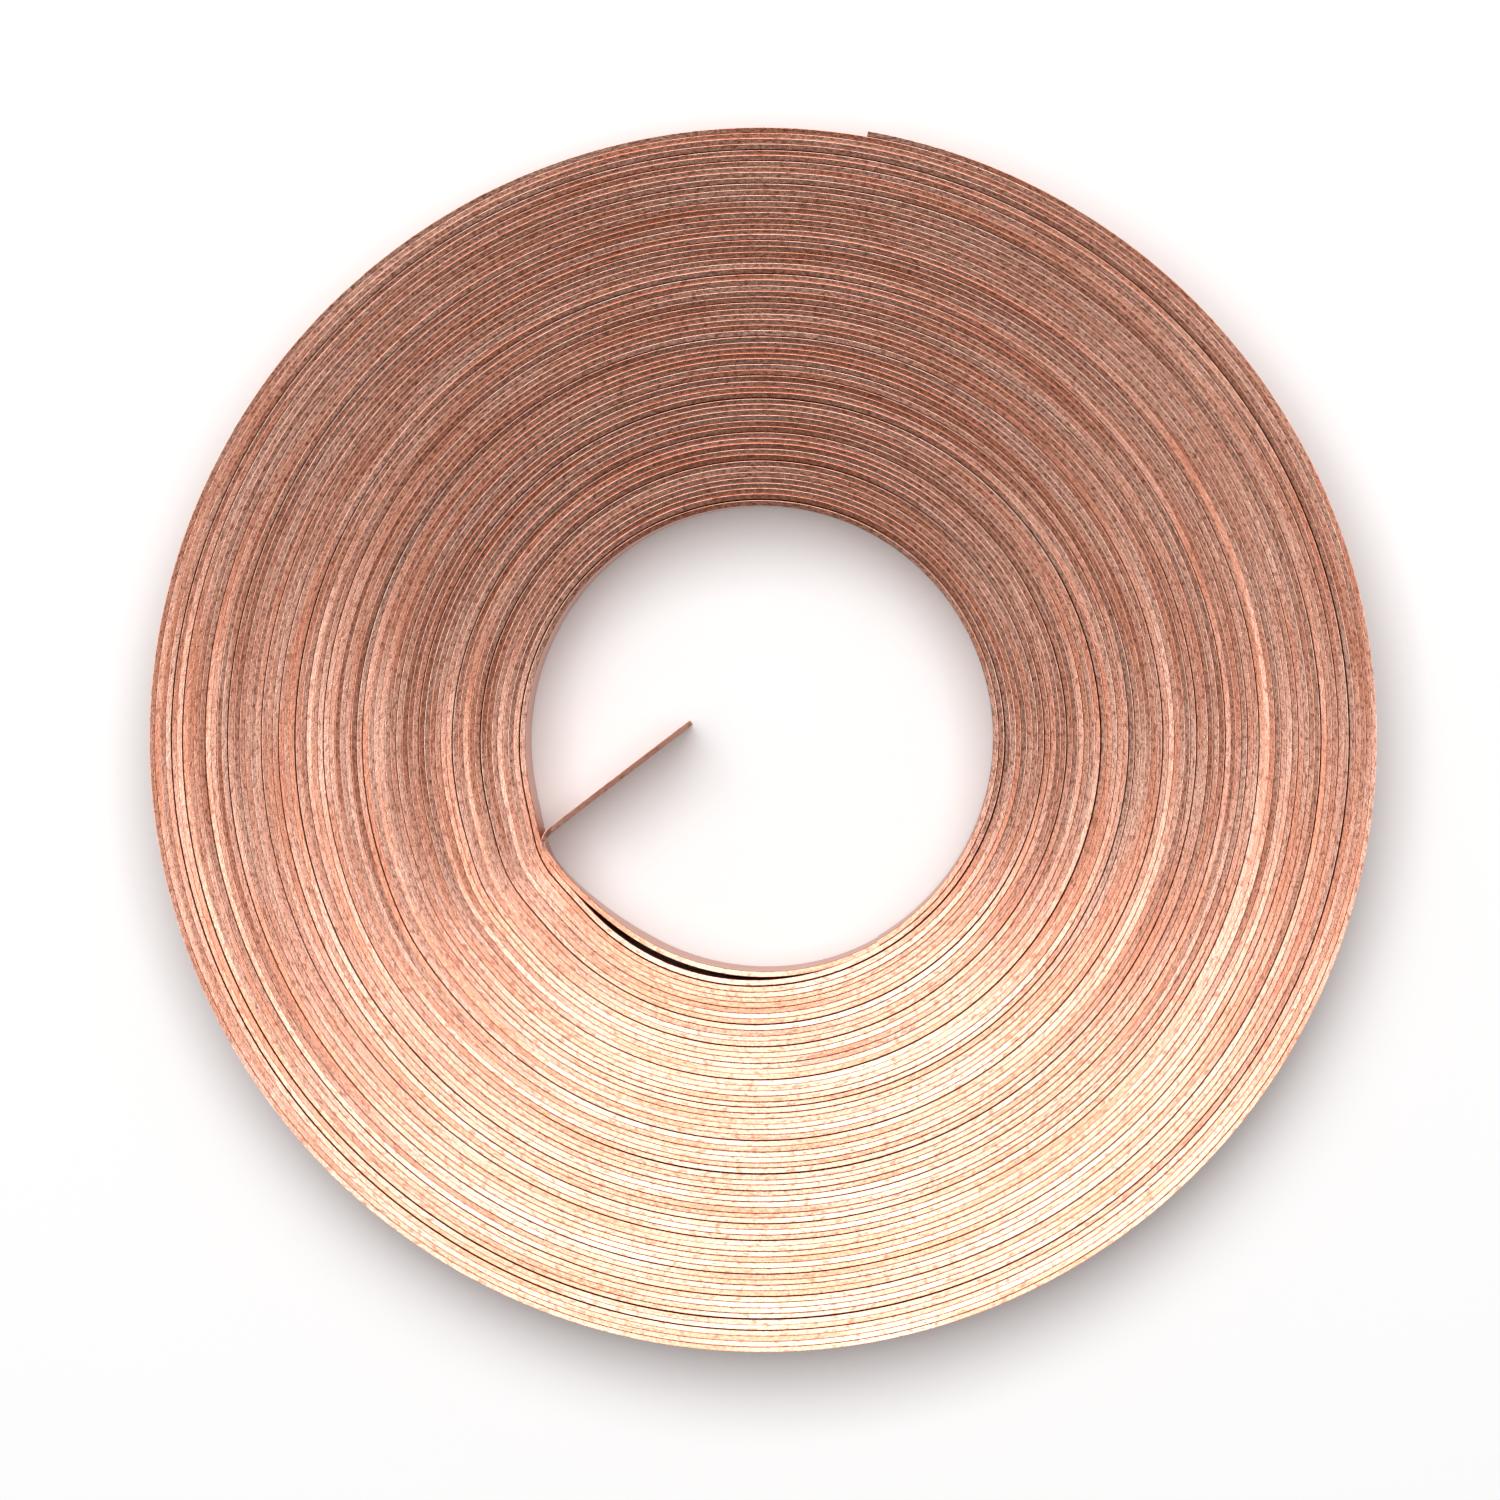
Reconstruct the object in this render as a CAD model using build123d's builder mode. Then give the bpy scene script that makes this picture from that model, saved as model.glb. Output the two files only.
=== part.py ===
from build123d import *
import math
import os

# A flat "pancake" coil of bare copper strip, lying on its edges. The strip is one long ribbon, and each
# solid here is a run of it. Millimetres, +Z up, origin at the centre of the coil's underside.
# A place on the strip is given by its strip angle: the azimuth that the strip has reached, in degrees,
# counted on from turn to turn. The strip winds outwards and anticlockwise, seen from above.

# The strip, and how it is wound
strip_width = 3.175
strip_thickness = 0.13
pitch = 0.1524
outer_radius = 16.7
coil_start_angle = 300
outer_end_angle = 68 * 360 + 80

# The windings that slide past each other, and the half turn of strip that crosses between two of them
winding_count = 12
crossover_span = 180

# The last quarter turn, which peels off the outside in short lengths
peel_count = 4
peel_span = 22.5

# The sprung lead inside the coil, the bend at its end and the straight tail, by their middle lines
lead_end_azimuth = 207.6
lead_end_radius = 6.29
lead_radius = 6.95
bend_radius = 0.48
tail_heading = 37.8
tail_length = 4.76
tail_cut_slant = 0.047

# Clearance where two runs that move apart meet end to end, and behind the tail's rounded root
end_gap = 0.03
root_gap = 0.01

# The spiral is drawn as half turns, each half a pitch larger than the one before it. Their centres lie
# a quarter pitch to either side of the spiral's own centre, so that one runs smoothly into the next.
# The spiral's centre stands off the origin by as much, which centres the coil's outline on the origin.
half_turn = 180
last_half_turn = outer_end_angle // half_turn
first_radius = outer_radius - strip_thickness - last_half_turn * pitch / 2
spiral_centre = Vector(-pitch / 4, pitch / 4)


def heading(angle, length=1):
    """A vector of some length along an azimuth."""
    return Vector(length, 0).rotate(Axis.Z, angle)


def centre_of(index):
    """The centre of a half turn."""
    side = 1 if index % 2 else -1
    return spiral_centre + Vector(side * pitch / 4, 0)


def radius_of(index, depth):
    """The radius of a half turn at some depth outwards from the strip's inner face."""
    return first_radius + index * pitch / 2 + depth


def strip_point(angle, depth):
    """The point at a strip angle, at some depth outwards from the strip's inner face."""
    index = angle // half_turn
    return centre_of(index) + heading(angle, radius_of(index, depth))


def strip_edge(start, stop, depth):
    """Draw the arcs along the strip between two strip angles."""
    for index in range(int(start // half_turn), math.ceil(stop / half_turn)):
        arc_start = max(start, index * half_turn)
        arc_stop = min(stop, (index + 1) * half_turn)
        CenterArc(centre_of(index), radius_of(index, depth), arc_start, arc_stop - arc_start)


def past(angle, length):
    """The strip angle that lies some length further along the strip."""
    return angle + math.degrees(length / radius_of(angle // half_turn, 0))


def save(run, name):
    """Label a finished run of strip and write it as its own file."""
    run.part.label = name
    export_step(run.part, f"parts/{name}.step")


def spiral_run(name, start, stop):
    """Make a run of strip that follows the spiral between two strip angles."""
    with BuildPart() as run:
        with BuildSketch():
            with BuildLine():
                strip_edge(start, stop, 0)
                strip_edge(start, stop, strip_thickness)
                Line(strip_point(start, 0), strip_point(start, strip_thickness))
                Line(strip_point(stop, 0), strip_point(stop, strip_thickness))
            make_face()
        extrude(amount=strip_width)
    save(run, name)


def arc_run(name, centre, middle_radius, start, sweep):
    """Make a run of strip that follows one arc."""
    inner = middle_radius - strip_thickness / 2
    outer = middle_radius + strip_thickness / 2
    with BuildPart() as run:
        with BuildSketch():
            with BuildLine():
                CenterArc(centre, inner, start, sweep)
                CenterArc(centre, outer, start, sweep)
                for angle in (start, start + sweep):
                    Line(centre + heading(angle, inner), centre + heading(angle, outer))
            make_face()
        extrude(amount=strip_width)
    save(run, name)


def tail_run(name, pivot):
    """Make the straight tail, with a root rounded about its pivot and a slightly slanted cut at its tip."""
    to_side = heading(tail_heading + 90, strip_thickness / 2)
    slant = heading(tail_heading, tail_cut_slant)
    tip = pivot + heading(tail_heading, tail_length)
    with BuildPart() as run:
        with BuildSketch():
            with BuildLine():
                CenterArc(pivot, strip_thickness / 2, tail_heading + 90, 180)
                Line(pivot + to_side, tip + to_side)
                Line(tip + to_side, tip - to_side - slant)
                Line(tip - to_side - slant, pivot - to_side)
            make_face()
        extrude(amount=strip_width)
    save(run, name)


def build_coil():
    """Make the windings, and the half turn of strip that crosses from each of them to the next."""
    crossovers = (winding_count - 1) * crossover_span
    winding_span = (peel_start_angle - coil_start_angle - crossovers) / winding_count
    start = coil_start_angle
    for number in range(1, winding_count + 1):
        stop = start + winding_span
        spiral_run(f"winding_{number:02}", past(start, end_gap), stop)
        start = stop + crossover_span
        if number < winding_count:
            spiral_run(f"crossover_{number:02}", stop, start)


def build_outer_end():
    """Make the short lengths that peel off the outside, each hinged on the outer face of the last."""
    for number in range(peel_count):
        start = peel_start_angle + number * peel_span
        spiral_run(f"outer_end_{number + 1}", past(start, end_gap), start + peel_span)


def build_inner_end():
    """Make the sprung lead, the bend at its end and the tail that stands across the hole."""
    lead_root = strip_point(coil_start_angle, strip_thickness / 2)
    lead_end = heading(lead_end_azimuth, lead_end_radius)
    chord = lead_root - lead_end
    half_sweep = math.degrees(math.asin(chord.length / 2 / lead_radius))
    lead_heading = math.degrees(math.atan2(chord.Y, chord.X)) - half_sweep
    lead_centre = lead_end + heading(lead_heading + 90, lead_radius)
    arc_run("inner_lead", lead_centre, lead_radius, lead_heading - 90, 2 * half_sweep)

    bend_centre = lead_end + heading(lead_heading + 90, bend_radius)
    bend_start = tail_heading + 90
    bend_sweep = lead_heading - 90 + 360 - bend_start
    arc_run("inner_bend", bend_centre, bend_radius, bend_start, bend_sweep)

    tail_pivot = bend_centre + heading(bend_start, bend_radius)
    tail_pivot += heading(tail_heading, strip_thickness / 2 + root_gap)
    tail_run("inner_tail", tail_pivot)


peel_start_angle = outer_end_angle - peel_count * peel_span
os.makedirs("parts", exist_ok=True)
build_coil()
build_outer_end()
build_inner_end()
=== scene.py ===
import bpy
import math
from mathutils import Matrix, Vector


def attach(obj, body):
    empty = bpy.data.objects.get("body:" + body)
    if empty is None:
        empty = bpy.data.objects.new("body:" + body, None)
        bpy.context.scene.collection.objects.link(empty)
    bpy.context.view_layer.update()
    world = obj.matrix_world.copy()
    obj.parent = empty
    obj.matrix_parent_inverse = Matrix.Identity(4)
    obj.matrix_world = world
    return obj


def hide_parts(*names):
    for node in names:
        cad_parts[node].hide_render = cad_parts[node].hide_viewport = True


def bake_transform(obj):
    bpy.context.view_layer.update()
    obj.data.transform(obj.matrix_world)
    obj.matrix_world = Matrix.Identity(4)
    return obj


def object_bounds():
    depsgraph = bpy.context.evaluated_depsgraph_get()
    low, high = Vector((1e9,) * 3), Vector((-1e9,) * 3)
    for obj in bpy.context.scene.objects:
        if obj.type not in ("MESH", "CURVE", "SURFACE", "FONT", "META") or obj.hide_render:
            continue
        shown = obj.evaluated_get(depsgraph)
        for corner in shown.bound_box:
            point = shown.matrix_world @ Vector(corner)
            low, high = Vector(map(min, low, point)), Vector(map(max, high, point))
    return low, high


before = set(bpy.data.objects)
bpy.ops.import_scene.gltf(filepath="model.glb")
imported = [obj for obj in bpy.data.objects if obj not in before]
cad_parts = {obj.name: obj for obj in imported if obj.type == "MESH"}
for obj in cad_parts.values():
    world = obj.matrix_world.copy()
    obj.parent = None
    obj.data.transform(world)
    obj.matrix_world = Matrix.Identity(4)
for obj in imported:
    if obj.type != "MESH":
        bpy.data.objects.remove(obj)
cad_low, cad_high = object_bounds()

# --- The bare copper ------------------------------------------------------------------------------
# Soft copper strip, slit from rolled sheet and left bare. Its edges keep a grain of tiny bright and
# dull facets from the slitting, with freckles of brown where the metal has begun to tarnish.
MM = 0.001
STRIP_WIDTH = cad_high.z - cad_low.z
GRAIN_LENGTH = 0.13 * MM
GRAIN_WIDTH = 0.06 * MM
GRAIN_DEPTH = 0.0028 * MM
FRECKLE_LENGTH = 0.25 * MM
FRECKLE_WIDTH = 0.12 * MM
TONE_LENGTH = 9 * MM
BROWN_COPPER = (0.51, 0.215, 0.140, 1)
PINK_COPPER = (0.61, 0.345, 0.262, 1)
TARNISH = (0.30, 0.110, 0.066, 1)
# painted bounce light: the broad side faces get a share of dull brown in place of bare metal, standing in for
# the reddish light that the copper throws between its own turns into the gaps
PAINTED_BOUNCE_BROWN = (0.62, 0.240, 0.140, 1)
SIDE_FACE_DULLNESS = 0.33
PAINTED_BOUNCE_SHARE = 0.28
COPPER_IN_PAINTED_BOUNCE = 0.3
DRIFT_RANGE = (0.38, 0.62)
FRECKLE_RANGE = (0.56, 0.74)
FRECKLE_STRENGTH = 0.7
GRAIN_RANGE = (0.35, 0.65)
GRAIN_DULLNESS = 0.08
EDGE_FACING_RANGE = (0.4, 0.7)


def wire(tree, kind, inputs=None, **settings):
    """Add a node, set its properties, and set or link its inputs by name or number."""
    node = tree.nodes.new(kind)
    for name, value in settings.items():
        setattr(node, name, value)
    for name, value in (inputs or {}).items():
        if isinstance(value, bpy.types.NodeSocket):
            tree.links.new(value, node.inputs[name])
        else:
            node.inputs[name].default_value = value
    return node


def calculate(tree, operation, *values):
    """The result of one Math node."""
    return wire(tree, "ShaderNodeMath", dict(enumerate(values)), operation=operation).outputs[0]


def strip_noise(tree, place, length, width, detail):
    """Noise on the strip's own surface, with cells of some length along it and width across it."""
    cells = wire(tree, "ShaderNodeMapping", {"Vector": place, "Scale": (1 / length, 1 / width, 1)}).outputs[0]
    noise = wire(tree, "ShaderNodeTexNoise", {
        "Vector": cells, "Scale": 1.0, "Detail": detail, "Roughness": 0.6}, noise_dimensions="2D")
    return noise.outputs[0]


def ramp(tree, value, low, high, to_low=0.0, to_high=1.0):
    """Stretch a value from one range to another, held at both ends."""
    inputs = {"Value": value, "From Min": low, "From Max": high, "To Min": to_low, "To Max": to_high}
    return wire(tree, "ShaderNodeMapRange", inputs).outputs[0]


def tint(tree, share, first, second):
    """Mix two colours."""
    mix = wire(tree, "ShaderNodeMix", data_type="RGBA")
    for socket, value in ((0, share), (6, first), (7, second)):
        if isinstance(value, bpy.types.NodeSocket):
            tree.links.new(value, mix.inputs[socket])
        else:
            mix.inputs[socket].default_value = value
    return mix.outputs[2]


def bare_copper(name, brown, pink, dullness):
    """Bare copper that drifts between two tones along the strip; a higher dullness reflects less sharply."""
    material = bpy.data.materials.new(name)
    material.use_nodes = True
    tree = material.node_tree
    tree.nodes.clear()
    place = wire(tree, "ShaderNodeUVMap", uv_map="strip").outputs[0]
    grain = strip_noise(tree, place, GRAIN_LENGTH, GRAIN_WIDTH, 2.0)
    freckles = strip_noise(tree, place, FRECKLE_LENGTH, FRECKLE_WIDTH, 1.0)
    drift = strip_noise(tree, place, TONE_LENGTH, STRIP_WIDTH, 3.0)
    tone = tint(tree, ramp(tree, drift, *DRIFT_RANGE), brown, pink)
    freckled = ramp(tree, freckles, *FRECKLE_RANGE, 0.0, FRECKLE_STRENGTH)
    coloured = tint(tree, freckled, tone, TARNISH)
    rough = ramp(tree, grain, *GRAIN_RANGE, dullness - GRAIN_DULLNESS, dullness + GRAIN_DULLNESS)
    bump = wire(tree, "ShaderNodeBump", {
        "Height": grain, "Strength": 1.0, "Distance": GRAIN_DEPTH}).outputs[0]
    # the broad rolled faces are part dull brown in place of bare metal: painted bounce light, standing in for
    # the reddish light that the copper throws between its own turns into the gaps; the slit edges stay bare
    # metal
    facing = wire(tree, "ShaderNodeSeparateXYZ", {0: wire(tree, "ShaderNodeTexCoord").outputs["Normal"]})
    on_edge = ramp(tree, calculate(tree, "ABSOLUTE", facing.outputs["Z"]), *EDGE_FACING_RANGE)
    bounce_painted = tint(tree, on_edge, tint(tree, COPPER_IN_PAINTED_BOUNCE, PAINTED_BOUNCE_BROWN, coloured), coloured)
    rougher = ramp(tree, on_edge, 0.0, 1.0, SIDE_FACE_DULLNESS, rough)
    bare = ramp(tree, on_edge, 0.0, 1.0, 1 - PAINTED_BOUNCE_SHARE, 1.0)
    shader = wire(tree, "ShaderNodeBsdfPrincipled", {
        "Base Color": bounce_painted, "Roughness": rougher, "Normal": bump, "Metallic": bare}).outputs[0]
    wire(tree, "ShaderNodeOutputMaterial", {"Surface": shader})
    return material


BRIGHT_DULLNESS = 0.30
bright_copper = bare_copper("bright_copper", BROWN_COPPER, PINK_COPPER, BRIGHT_DULLNESS)

# --- The windings ---------------------------------------------------------------------------------
# One ribbon an eighth of an inch wide, wound on its edge into a flat spiral of some sixty-seven turns.
# Slitting has rolled its edges over towards the inside, no two turns stand quite level, and all of
# them swell out a little where the bend at the inner end presses on them.
STRIP_THICKNESS = 0.1455 * MM
EDGE_ROUNDING = 0.012 * MM
EDGE_ROLL = 0.31
ROLL_CHANGE = 0.10
PITCH = 0.1524 * MM
BUNCH_TURNS = 5.5
BUNCH_DEPTH = 0.006 * MM
BUNCH_STEP_START = 0.92
BUNCH_DRIFT = 0.8
BUNCH_CHANGES_PER_TURN = 0.31
RISE_CHANGES_PER_TURN = 1.7
ROLL_CHANGES_PER_TURN = 2.3
COIL_START_ANGLE = 300
OUTER_END_ANGLE = 68 * 360 + 80
UNEVENNESS = 0.05 * MM
STEPS_PER_TURN = 432
CORNER_ANGLE = 0.2
WINDING_COUNT = 12
CROSSOVER_SPAN = 180
PEEL_COUNT = 4
PEEL_SPAN = 22.5
SWELL_DEPTH = 10.4 * MM
BROAD_SWELL = (245, 40, 0.190 * MM)
SHARP_SWELL = (209, 8, 0.168 * MM)

coil_radius = 16.7 * MM
spiral_centre = Vector((-PITCH / 4, PITCH / 4, 0))
hub_radius = coil_radius - STRIP_THICKNESS / 2 - PITCH * OUTER_END_ANGLE / 360
peel_start_angle = OUTER_END_ANGLE - PEEL_COUNT * PEEL_SPAN
winding_span = (peel_start_angle - COIL_START_ANGLE - (WINDING_COUNT - 1) * CROSSOVER_SPAN) / WINDING_COUNT


def add_inputs(tree, **kinds):
    """Give a node group its named inputs, and return their sockets by name."""
    for name, kind in kinds.items():
        tree.interface.new_socket(name.replace("_", " "), in_out="INPUT", socket_type=f"NodeSocket{kind}")
    return wire(tree, "NodeGroupInput").outputs


def new_tree(name):
    """An empty geometry tree that gives a geometry."""
    tree = bpy.data.node_groups.new(name, "GeometryNodeTree")
    tree.interface.new_socket("Geometry", in_out="OUTPUT", socket_type="NodeSocketGeometry")
    return tree


def keep_field(tree, geometry, **fields):
    """Keep fields on a line's points, so that they are still there after it is swept."""
    keeper = wire(tree, "GeometryNodeCaptureAttribute", {"Geometry": geometry}, domain="POINT")
    for name, value in fields.items():
        keeper.capture_items.new("VECTOR" if value.type == "VECTOR" else "FLOAT", name)
        tree.links.new(value, keeper.inputs[name])
    return keeper.outputs


def strip_sweep_tree():
    """The node group that sweeps the strip's section along a line, standing on its edge."""
    tree = new_tree("strip_sweep")
    inputs = add_inputs(tree, Line="Geometry", Along="Float", Roll="Float", Lean="Vector", Thickness="Float",
                        Width="Float", Edge_Rounding="Float")
    section = wire(tree, "GeometryNodeCurvePrimitiveQuadrilateral", {
        "Width": inputs["Thickness"], "Height": inputs["Width"]}, mode="RECTANGLE").outputs[0]
    section = wire(tree, "GeometryNodeFilletCurve", {
        "Curve": section, "Radius": inputs["Edge Rounding"], "Count": 2, "Limit Radius": True},
        mode="POLY").outputs[0]
    place = wire(tree, "ShaderNodeSeparateXYZ", {0: wire(tree, "GeometryNodeInputPosition").outputs[0]})
    # the swept section's own y axis points down, and its x axis away from the middle of the coil
    section = keep_field(tree, section, outwards=place.outputs["X"], down=place.outputs["Y"],
                         around=wire(tree, "GeometryNodeSplineParameter").outputs["Length"])
    line = keep_field(tree, inputs["Line"], along=inputs["Along"], roll=inputs["Roll"], lean=inputs["Lean"])
    upright = wire(tree, "GeometryNodeSetCurveNormal", {"Curve": line["Geometry"]}, mode="Z_UP")
    swept = wire(tree, "GeometryNodeCurveToMesh", {
        "Curve": upright.outputs[0], "Profile Curve": section["Geometry"], "Fill Caps": True}).outputs[0]
    # both edges are rolled over to the same side, and a leaning strip's foot stands out from its top
    below_middle = calculate(tree, "DIVIDE", section["down"], inputs["Width"])
    from_middle = calculate(tree, "MULTIPLY", below_middle, -1.0)
    slope = calculate(tree, "MULTIPLY", calculate(tree, "MULTIPLY", from_middle, 2.0), line["roll"])
    # the whole strip is lifted, so that the low side of its rolled foot still clears the table
    half_thickness = calculate(tree, "MULTIPLY", inputs["Thickness"], 0.5)
    lift = calculate(tree, "MULTIPLY", calculate(tree, "ABSOLUTE", line["roll"]), half_thickness)
    rolled = wire(tree, "ShaderNodeCombineXYZ", {
        "Z": calculate(tree, "MULTIPLY_ADD", slope, section["outwards"], lift)})
    from_top = calculate(tree, "SUBTRACT", 0.5, from_middle)
    leaning = wire(tree, "ShaderNodeVectorMath", {0: line["lean"]}, operation="SCALE")
    tree.links.new(from_top, leaning.inputs["Scale"])
    moved = wire(tree, "ShaderNodeVectorMath", {0: rolled.outputs[0], 1: leaning.outputs[0]}, operation="ADD")
    swept = wire(tree, "GeometryNodeSetPosition", {"Geometry": swept, "Offset": moved.outputs[0]}).outputs[0]
    strip_place = wire(tree, "ShaderNodeCombineXYZ", {"X": line["along"], "Y": section["around"]})
    stored = wire(tree, "GeometryNodeStoreNamedAttribute", {
        "Geometry": swept, "Name": "strip", "Value": strip_place.outputs[0]},
        data_type="FLOAT2", domain="CORNER").outputs[0]
    # the strip shades smoothly along its length, and keeps its corners crisp
    smooth = wire(tree, "GeometryNodeSetShadeSmooth", {"Geometry": stored}, domain="FACE").outputs[0]
    corner = wire(tree, "FunctionNodeCompare", {
        0: wire(tree, "GeometryNodeInputMeshEdgeAngle").outputs["Unsigned Angle"], 1: CORNER_ANGLE},
        data_type="FLOAT", operation="GREATER_THAN").outputs[0]
    crisp = wire(tree, "GeometryNodeSetShadeSmooth", {
        "Geometry": smooth, "Selection": corner, "Shade Smooth": False}, domain="EDGE").outputs[0]
    wire(tree, "NodeGroupOutput", {"Geometry": crisp})
    return tree


def sweep(tree, inputs, line, along, roll, lean):
    """Sweep the strip along a line in another tree, and finish that tree."""
    group = wire(tree, "GeometryNodeGroup", node_tree=strip_sweep)
    tree.links.new(line, group.inputs["Line"])
    tree.links.new(along, group.inputs["Along"])
    tree.links.new(roll, group.inputs["Roll"])
    tree.links.new(lean, group.inputs["Lean"])
    for name in ("Thickness", "Width", "Edge Rounding"):
        tree.links.new(inputs[name], group.inputs[name])
    whole = wire(tree, "GeometryNodeRealizeInstances", {"Geometry": group.outputs[0]}).outputs[0]
    finished = wire(tree, "GeometryNodeSetMaterial", {"Geometry": whole, "Material": inputs["Copper"]})
    wire(tree, "NodeGroupOutput", {"Geometry": finished.outputs[0]})


def drift_noise(tree, turns, changes_per_turn, detail=1.0):
    """Noise, from 0 to 1, that changes some number of times a turn along the strip."""
    place = calculate(tree, "MULTIPLY", turns, changes_per_turn)
    noise = wire(tree, "ShaderNodeTexNoise", {
        "W": place, "Scale": 1.0, "Detail": detail}, noise_dimensions="1D")
    return ramp(tree, noise.outputs[0], 0.28, 0.72)


def bell(tree, azimuth, middle, spread, height):
    """A bell-shaped swelling of some height about an azimuth."""
    away = calculate(tree, "DIVIDE", calculate(tree, "SUBTRACT", azimuth, middle), spread)
    squared = calculate(tree, "MULTIPLY", away, away)
    fall = calculate(tree, "EXPONENT", calculate(tree, "MULTIPLY", squared, -1.0))
    return calculate(tree, "MULTIPLY", fall, height)


def wound_strip_tree():
    """The tree that winds a run of strip between two strip angles."""
    tree = new_tree("wound_strip")
    inputs = add_inputs(tree, Start_Angle="Float", Stop_Angle="Float", Steps="Int", Pitch="Float",
                        Hub_Radius="Float", Centre="Vector", Thickness="Float", Width="Float",
                        Edge_Rounding="Float", Edge_Roll="Float", Roll_Change="Float", Unevenness="Float",
                        Swell_Depth="Float", Bunch_Turns="Float", Bunch_Depth="Float", Copper="Material")
    line = wire(tree, "GeometryNodeCurvePrimitiveLine").outputs[0]
    points = wire(tree, "GeometryNodeResampleCurve", {"Curve": line, "Count": inputs["Steps"]}).outputs[0]
    share = wire(tree, "GeometryNodeSplineParameter").outputs["Factor"]
    angle = ramp(tree, share, 0.0, 1.0, inputs["Start Angle"], inputs["Stop Angle"])
    turns = calculate(tree, "DIVIDE", angle, 360.0)
    turned = calculate(tree, "RADIANS", angle)
    plain_radius = calculate(tree, "MULTIPLY_ADD", turns, inputs["Pitch"], inputs["Hub Radius"])
    # the swelling dies away from turn to turn, as the gaps between them take it up
    depth = calculate(tree, "SUBTRACT", plain_radius, inputs["Hub Radius"])
    share_of_depth = calculate(tree, "DIVIDE", depth, inputs["Swell Depth"])
    left = calculate(tree, "MAXIMUM", calculate(tree, "SUBTRACT", 1.0, share_of_depth), 0.0)
    azimuth = calculate(tree, "MULTIPLY", calculate(tree, "FRACT", turns), 360.0)
    swell = calculate(tree, "ADD", bell(tree, azimuth, *BROAD_SWELL), bell(tree, azimuth, *SHARP_SWELL))
    swollen = calculate(tree, "MULTIPLY_ADD", swell, calculate(tree, "MULTIPLY", left, left), plain_radius)
    # a few turns at a time lie tight together, with an open gap before the next few
    bunch_noise = drift_noise(tree, turns, BUNCH_CHANGES_PER_TURN)
    bunch = calculate(tree, "ADD", calculate(tree, "DIVIDE", turns, inputs["Bunch Turns"]),
                      calculate(tree, "MULTIPLY", bunch_noise, BUNCH_DRIFT))
    past_bunch = calculate(tree, "FRACT", bunch)
    stepped = wire(tree, "ShaderNodeMapRange", {
        "Value": past_bunch, "From Min": BUNCH_STEP_START}, interpolation_type="SMOOTHSTEP").outputs[0]
    slack = calculate(tree, "SUBTRACT", stepped, past_bunch)
    bunch_gap = calculate(tree, "MULTIPLY", inputs["Bunch Turns"], inputs["Bunch Depth"])
    radius = calculate(tree, "MULTIPLY_ADD", slack, bunch_gap, swollen)
    # every turn stands on the table or a hair above it, and changes height slowly on its way round
    rise_noise = drift_noise(tree, turns, RISE_CHANGES_PER_TURN)
    rise = calculate(tree, "MULTIPLY", rise_noise, inputs["Unevenness"])
    roll_noise = calculate(tree, "SUBTRACT", drift_noise(tree, turns, ROLL_CHANGES_PER_TURN), 0.5)
    roll = calculate(tree, "MULTIPLY_ADD", roll_noise, inputs["Roll Change"], inputs["Edge Roll"])
    height = calculate(tree, "MULTIPLY_ADD", inputs["Width"], 0.5, rise)
    flat_place = wire(tree, "ShaderNodeCombineXYZ", {
        "X": calculate(tree, "MULTIPLY", calculate(tree, "COSINE", turned), radius),
        "Y": calculate(tree, "MULTIPLY", calculate(tree, "SINE", turned), radius), "Z": height}).outputs[0]
    place = wire(tree, "ShaderNodeVectorMath", {
        0: flat_place, 1: inputs["Centre"]}, operation="ADD").outputs[0]
    spiral = wire(tree, "GeometryNodeSetPosition", {"Geometry": points, "Position": place}).outputs[0]
    # the length of strip wound so far is its turning times its mean radius
    half_turns = calculate(tree, "MULTIPLY", turns, 0.5)
    mean_radius = calculate(tree, "MULTIPLY_ADD", half_turns, inputs["Pitch"], inputs["Hub Radius"])
    upright = wire(tree, "ShaderNodeCombineXYZ").outputs[0]
    sweep(tree, inputs, spiral, calculate(tree, "MULTIPLY", turned, mean_radius), roll, upright)
    return tree


def made_by(tree, name, data, **values):
    """A plain mesh made from some data by a node tree, with its inputs given by name."""
    maker = bpy.data.objects.new(name, data)
    bpy.context.scene.collection.objects.link(maker)
    modifier = maker.modifiers.new(name, "NODES")
    modifier.node_group = tree
    identifiers = {s.name: s.identifier for s in tree.interface.items_tree if s.in_out == "INPUT"}
    for value_name, value in values.items():
        modifier[identifiers[value_name.replace("_", " ")]] = value
    evaluated = maker.evaluated_get(bpy.context.evaluated_depsgraph_get())
    mesh = bpy.data.meshes.new_from_object(evaluated)
    bpy.data.objects.remove(maker)
    mesh.name = name
    piece = bpy.data.objects.new(name, mesh)
    bpy.context.scene.collection.objects.link(piece)
    return piece


strip_sweep = strip_sweep_tree()
wound_strip = wound_strip_tree()
strip_size = {"Thickness": STRIP_THICKNESS, "Width": STRIP_WIDTH, "Edge_Rounding": EDGE_ROUNDING,
              "Edge_Roll": EDGE_ROLL, "Copper": bright_copper}


def wound_run(name, start, stop):
    """A run of the wound strip between two strip angles."""
    steps = max(8, round((stop - start) / 360 * STEPS_PER_TURN)) + 1
    return made_by(
        wound_strip, name, bpy.data.meshes.new(name), Start_Angle=float(start), Stop_Angle=float(stop),
        Steps=steps, Pitch=PITCH, Hub_Radius=hub_radius, Centre=spiral_centre, Unevenness=UNEVENNESS,
        Roll_Change=ROLL_CHANGE, Swell_Depth=SWELL_DEPTH, Bunch_Turns=BUNCH_TURNS,
        Bunch_Depth=BUNCH_DEPTH, **strip_size)


def strip_place(angle):
    """The middle of the strip at a strip angle, half way up."""
    turned = math.radians(angle)
    outwards = Vector((math.cos(turned), math.sin(turned), 0)) * (hub_radius + PITCH * angle / 360)
    return spiral_centre + outwards + Vector((0, 0, STRIP_WIDTH / 2))


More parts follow.
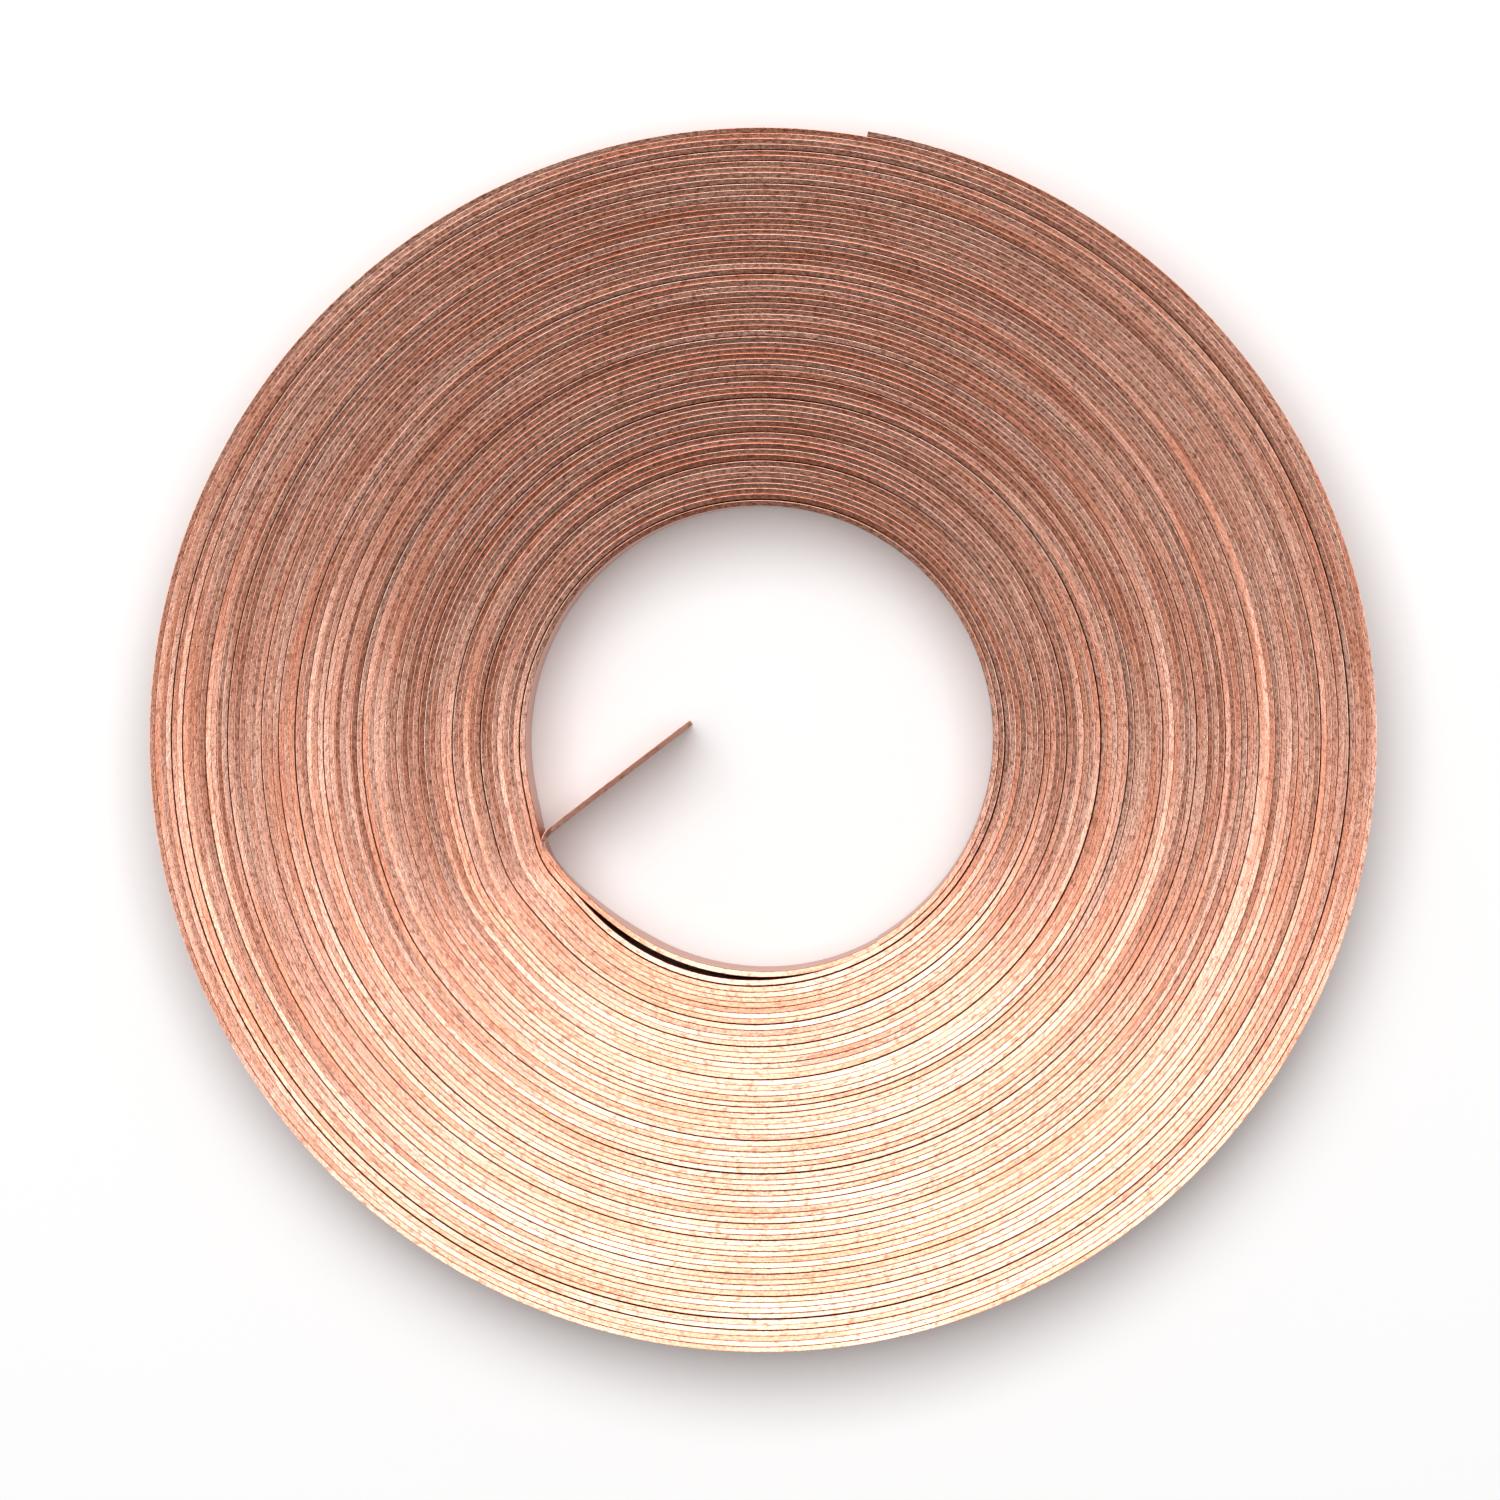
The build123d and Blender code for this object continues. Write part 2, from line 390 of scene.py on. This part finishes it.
for number in range(1, WINDING_COUNT + 1):
    start = COIL_START_ANGLE + (number - 1) * (winding_span + CROSSOVER_SPAN)
    winding = wound_run(f"strip_winding_{number:02}", start, start + winding_span)
    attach(winding, f"ring_{number:02}")
    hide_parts(f"winding_{number:02}")

# --- The half turns between the windings ----------------------------------------------------------
# The same strip, where it crosses from one winding to the next.
for number in range(1, WINDING_COUNT):
    stop = COIL_START_ANGLE + number * (winding_span + CROSSOVER_SPAN)
    start = stop - CROSSOVER_SPAN
    crossover = wound_run(f"strip_crossover_{number:02}", start, stop)
    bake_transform(crossover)
    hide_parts(f"crossover_{number:02}")

# --- The loose outer end --------------------------------------------------------------------------
# The last quarter turn of the strip, cut square and held by nothing but its own set. It lies round the
# outside in four short lengths, each of which turns a little from the one before it.
for number in range(1, PEEL_COUNT + 1):
    start = peel_start_angle + (number - 1) * PEEL_SPAN
    outer_end = wound_run(f"strip_outer_end_{number}", start, start + PEEL_SPAN)
    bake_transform(outer_end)
    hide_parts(f"outer_end_{number}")

# --- The lead and its bend ------------------------------------------------------------------------
# The innermost stretch of the strip. It stands a little away from the first turn, runs back against
# it, and is bent by hand round a small loop that points it across the open centre.
LEAD_STEP = 1
BEND_CENTRE_RADIUS = 6.10 * MM
BEND_CENTRE_AZIMUTH = 207.7
BEND_RADIUS = 0.48 * MM
BEND_STEP = 6
BEND_JOIN_AZIMUTH = 216
TAIL_HEADING = 37.4
LEAD_JOIN_AZIMUTH = 214
ROOT_SWELL = (290, 25, 0.033 * MM)
SPRING_OUT = (206, 15, 0.24 * MM)
LEAN = Vector((-0.125, -0.085, 0)) * MM
LEAN_START = 1.2 * MM
LEAN_END = 4.2 * MM


def polar(azimuth, radius):
    """A point at an azimuth and radius about the spiral's centre, half way up the strip."""
    turned = math.radians(azimuth)
    return Vector((radius * math.cos(turned), radius * math.sin(turned), STRIP_WIDTH / 2)) + spiral_centre


def swelling(azimuth, middle, spread, height):
    """A bell-shaped departure of some height about an azimuth."""
    return height * math.exp(-((azimuth - middle) / spread) ** 2)


def lead_radius_at(azimuth):
    """The radius of the lead's middle line at an azimuth."""
    plain = hub_radius + PITCH * azimuth / 360
    return plain + swelling(azimuth, *ROOT_SWELL) + swelling(azimuth, *SPRING_OUT)


def bend_point(azimuth):
    """A point on the bend's middle line at an azimuth about the bend's centre."""
    turned = math.radians(azimuth)
    bend_centre = polar(BEND_CENTRE_AZIMUTH, BEND_CENTRE_RADIUS)
    return bend_centre + Vector((math.cos(turned), math.sin(turned), 0)) * BEND_RADIUS


def smooth_line(name, points):
    """A plain curve through points, as the line that the strip follows."""
    curve = bpy.data.curves.new(name, "CURVE")
    curve.dimensions = "3D"
    spline = curve.splines.new("POLY")
    spline.points.add(len(points) - 1)
    for spline_point, point in zip(spline.points, points):
        spline_point.co = (*point, 1)
    return curve


def bent_strip_tree():
    """The tree that stands the strip along a given line."""
    tree = new_tree("bent_strip")
    inputs = add_inputs(tree, Line="Geometry", Thickness="Float", Width="Float", Edge_Rounding="Float",
                        Edge_Roll="Float", Lean="Vector", Lean_Start="Float", Lean_End="Float",
                        Copper="Material")
    along = wire(tree, "GeometryNodeSplineParameter").outputs["Length"]
    still_leaning = ramp(tree, along, inputs["Lean Start"], inputs["Lean End"], 1.0, 0.0)
    lean = wire(tree, "ShaderNodeVectorMath", {0: inputs["Lean"]}, operation="SCALE")
    tree.links.new(still_leaning, lean.inputs["Scale"])
    sweep(tree, inputs, inputs["Line"], along, inputs["Edge Roll"], lean.outputs[0])
    return tree


bent_strip = bent_strip_tree()
bend_line = [bend_point(azimuth) for azimuth in range(int(TAIL_HEADING + 90), BEND_JOIN_AZIMUTH, BEND_STEP)]
lead_azimuths = range(LEAD_JOIN_AZIMUTH, COIL_START_ANGLE + 1, LEAD_STEP)
lead_line = [polar(azimuth, lead_radius_at(azimuth)) for azimuth in lead_azimuths]
lead = made_by(bent_strip, "strip_lead", smooth_line("lead_line", bend_line + lead_line), Lean=LEAN,
               Lean_Start=LEAN_START, Lean_End=LEAN_END, **strip_size)
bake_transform(lead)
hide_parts("inner_lead", "inner_bend")

# --- The tail -------------------------------------------------------------------------------------
# The last few millimetres of the strip, straight and cut off square. They have been handled more
# than the rest, so they are browner and duller, and they lean over as far as the bend does.
TAIL_LENGTH = 4.80 * MM
TAIL_STEPS = 24
DULL_BROWN = (0.54, 0.270, 0.200, 1)
DULL_PINK = (0.68, 0.400, 0.320, 1)
dull_copper = bare_copper("dull_copper", DULL_BROWN, DULL_PINK, 0.5)
tail_root = bend_point(TAIL_HEADING + 90)
tail_way = Vector((math.cos(math.radians(TAIL_HEADING)), math.sin(math.radians(TAIL_HEADING)), 0))
tail_line = [tail_root + tail_way * TAIL_LENGTH * step / TAIL_STEPS for step in range(TAIL_STEPS, -1, -1)]
tail = made_by(bent_strip, "strip_tail", smooth_line("tail_line", tail_line), Lean=LEAN,
               Lean_Start=TAIL_LENGTH * 2, Lean_End=TAIL_LENGTH * 3, **{**strip_size, "Copper": dull_copper})
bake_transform(tail)
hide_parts("inner_tail")

# --- Table, light and camera ----------------------------------------------------------------------
# The coil lies on a plain pale table under one broad light box, which hangs a little to the far side
# of it, and is seen from almost straight above.
TABLE_HALF = 600 * MM
TABLE_COLOUR = (0.92, 0.92, 0.92, 1)
TABLE_DULLNESS = 0.9
LIGHT_DISTANCE = 250 * MM
BOX_AZIMUTH = 100
BOX_TILT = 14
BOX_SIZE = 220 * MM
BOX_POWER = 0.73
ROOM_BRIGHTNESS = 0.20
corners = [(x * TABLE_HALF, y * TABLE_HALF, 0) for x, y in ((-1, -1), (1, -1), (1, 1), (-1, 1))]
table_mesh = bpy.data.meshes.new("table")
table_mesh.from_pydata(corners, [], [(0, 1, 2, 3)])
table = bpy.data.objects.new("table", table_mesh)
bpy.context.scene.collection.objects.link(table)
pale = bpy.data.materials.new("pale_table")
pale.use_nodes = True
pale_shader = pale.node_tree.nodes["Principled BSDF"]
pale_shader.inputs["Base Color"].default_value = TABLE_COLOUR
pale_shader.inputs["Roughness"].default_value = TABLE_DULLNESS
table_mesh.materials.append(pale)


box_up = math.radians(90 - BOX_TILT)
box_turned = math.radians(BOX_AZIMUTH)
box_flat = Vector((math.cos(box_turned), math.sin(box_turned), 0)) * math.cos(box_up)
box_way = box_flat + Vector((0, 0, math.sin(box_up)))
light = bpy.data.lights.new("light_box", "AREA")
light.size = BOX_SIZE
light.energy = BOX_POWER
light_box = bpy.data.objects.new("light_box", light)
bpy.context.scene.collection.objects.link(light_box)
light_box.location = box_way * LIGHT_DISTANCE
light_box.rotation_euler = (-box_way).to_track_quat("-Z", "Y").to_euler()
world = bpy.data.worlds.new("pale_room")
world.use_nodes = True
world.node_tree.nodes["Background"].inputs["Color"].default_value = (1, 1, 1, 1)
world.node_tree.nodes["Background"].inputs["Strength"].default_value = ROOM_BRIGHTNESS
bpy.context.scene.world = world
bpy.context.scene.view_settings.view_transform = "Standard"

CAMERA_HEIGHT = 236 * MM
VIEW_WIDTH = 40.56 * MM
LEAN_RIGHT = 1.53
LEAN_AWAY = 1.17
SENSOR_WIDTH = 36
middle_of_view = Vector((-0.33 * MM, -0.25 * MM, STRIP_WIDTH))
camera_data = bpy.data.cameras.new("camera")
camera_data.sensor_width = SENSOR_WIDTH
camera_data.lens = SENSOR_WIDTH * CAMERA_HEIGHT / VIEW_WIDTH
camera_data.clip_start = 10 * MM
camera = bpy.data.objects.new("camera", camera_data)
bpy.context.scene.collection.objects.link(camera)
right = math.radians(LEAN_RIGHT)
away = math.radians(LEAN_AWAY)
camera.location = middle_of_view + Vector((math.tan(right), math.tan(away), 1)) * CAMERA_HEIGHT
camera.rotation_euler = (-away, right, 0)
bpy.context.scene.camera = camera
